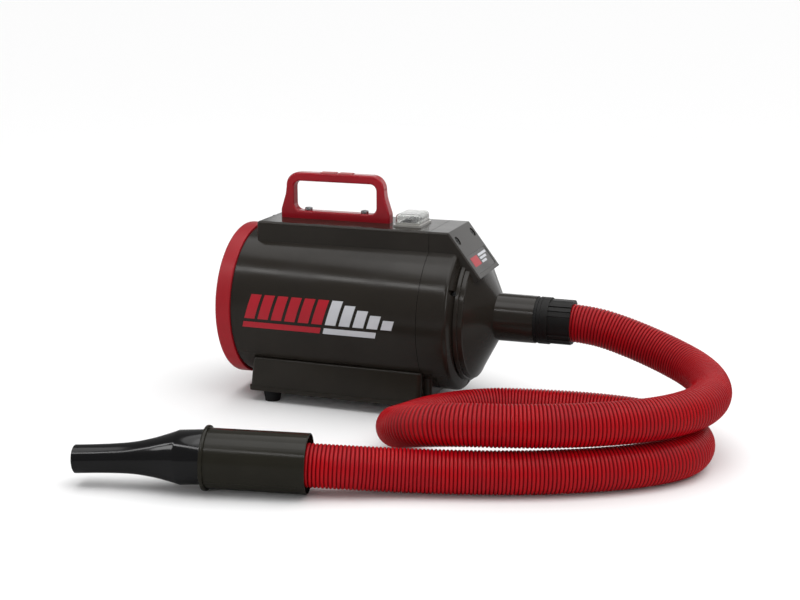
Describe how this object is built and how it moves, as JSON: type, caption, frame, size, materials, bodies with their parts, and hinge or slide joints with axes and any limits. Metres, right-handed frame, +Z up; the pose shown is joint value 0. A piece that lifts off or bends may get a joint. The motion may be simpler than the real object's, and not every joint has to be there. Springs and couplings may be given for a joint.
{
  "type": "pet dryer",
  "caption": "Pet grooming dryer: barrel blower on a plinth with feet, carry handle, rocker switches, pull-off filter cover, ribbed hose and push-in tapered nozzle.",
  "frame": {"origin": "on the floor under the middle of the machine, hose and nozzle not counted", "axes": "+X along the barrel towards the air outlet, +Y across to the far side, +Z up"},
  "size_m": [0.6125, 0.4906, 0.2683],
  "materials": {
    "housing": "glossy dark charcoal",
    "housing_base": "glossy dark charcoal",
    "ring_red": "satin red",
    "handle_red": "satin deep red",
    "hose_red": "ribbed, semi-gloss crimson",
    "cuff_plastic": "satin black",
    "sleeve_plastic": "semi-gloss dark olive",
    "nozzle_plastic": "polished black",
    "black_plastic": "satin black",
    "rocker_black": "semi-gloss black",
    "clear_cover": "clear, soft-touch",
    "pad": "matt",
    "foam": "open-cell foam",
    "screw_steel": "bright zinc",
    "screw_dark": "blackened",
    "label_plate": "printed, satin",
    "seal_rubber": "matt black",
    "foot_rubber": "matt black",
    "board": "solder-masked",
    "brass_tab": "plain",
    "motor_metal": "as cast",
    "core_iron": "laminated"
  },
  "bodies": {
    "dryer": {"barrel_shell": "housing", "front_housing": "housing", "base_plinth": "housing_base", "handle": "handle_red", "handle_pads": "pad", "handle_screws": "screw_steel", "switch_bezel": "black_plastic", "switch_cover": "clear_cover", "rocker_pin": "screw_steel", "switch_body": "black_plastic", "switch_tabs": "brass_tab", "base_screws": "screw_steel", "housing_screws": "screw_dark", "panel_plate": "label_plate", "outlet_seal": "seal_rubber", "rear_near_foot": "foot_rubber", "rear_far_foot": "foot_rubber", "front_near_foot": "foot_rubber", "front_far_foot": "foot_rubber", "cord_gland": "black_plastic", "gland_nut": "black_plastic", "circuit_board": "board", "board_posts": "black_plastic", "terminal_block": "black_plastic", "foam_liner": "foam", "hose": "hose_red", "hose_end_collar": "cuff_plastic", "wand_sleeve": "sleeve_plastic", "fan_shroud_1": "motor_metal", "motor_seal_1": "seal_rubber", "motor_frame_1": "motor_metal", "stator_1": "core_iron", "motor_bearings_1": "screw_steel", "brush_holders_1": "brass_tab", "fan_shroud_2": "motor_metal", "motor_seal_2": "seal_rubber", "motor_frame_2": "motor_metal", "stator_2": "core_iron", "motor_bearings_2": "screw_steel", "brush_holders_2": "brass_tab"},
    "blower_1": {"armature_1": "core_iron", "fan_1": "motor_metal"},
    "blower_2": {"armature_2": "core_iron", "fan_2": "motor_metal"},
    "rocker_1": {"rocker_1": "rocker_black"},
    "rocker_2": {"rocker_2": "rocker_black"},
    "filter_cover": {"filter_ring": "ring_red", "intake_grille": "black_plastic", "foam_filter": "foam"},
    "cuff": {"hose_cuff": "cuff_plastic", "cuff_seal": "seal_rubber"},
    "nozzle": {"nozzle": "nozzle_plastic"}
  },
  "joints": [
    {"name": "blower_1_spin", "type": "hinge", "parent": "dryer", "child": "blower_1", "pos_m": [-0.1, 0, 0.109], "axis": [1, 0, 0], "continuous": true},
    {"name": "blower_2_spin", "type": "hinge", "parent": "dryer", "child": "blower_2", "pos_m": [0.01, 0, 0.109], "axis": [1, 0, 0], "continuous": true},
    {"name": "rocker_1_tilt", "type": "hinge", "parent": "dryer", "child": "rocker_1", "pos_m": [0.0295, -0.0086, 0.214], "axis": [0, -1, 0], "range_deg": [0, 14]},
    {"name": "rocker_2_tilt", "type": "hinge", "parent": "dryer", "child": "rocker_2", "pos_m": [0.0295, 0.0086, 0.214], "axis": [0, -1, 0], "range_deg": [0, 14]},
    {"name": "filter_cover_slide", "type": "slide", "parent": "dryer", "child": "filter_cover", "axis": [-1, 0, 0], "range_m": [0, 0.045]},
    {"name": "cuff_swivel", "type": "hinge", "parent": "dryer", "child": "cuff", "pos_m": [0.195, 0, 0.109], "axis": [1, 0, 0], "continuous": true},
    {"name": "nozzle_slide", "type": "slide", "parent": "dryer", "child": "nozzle", "axis": [-0.9724, -0.2264, -0.0558], "range_m": [0, 0.045]}
  ]
}
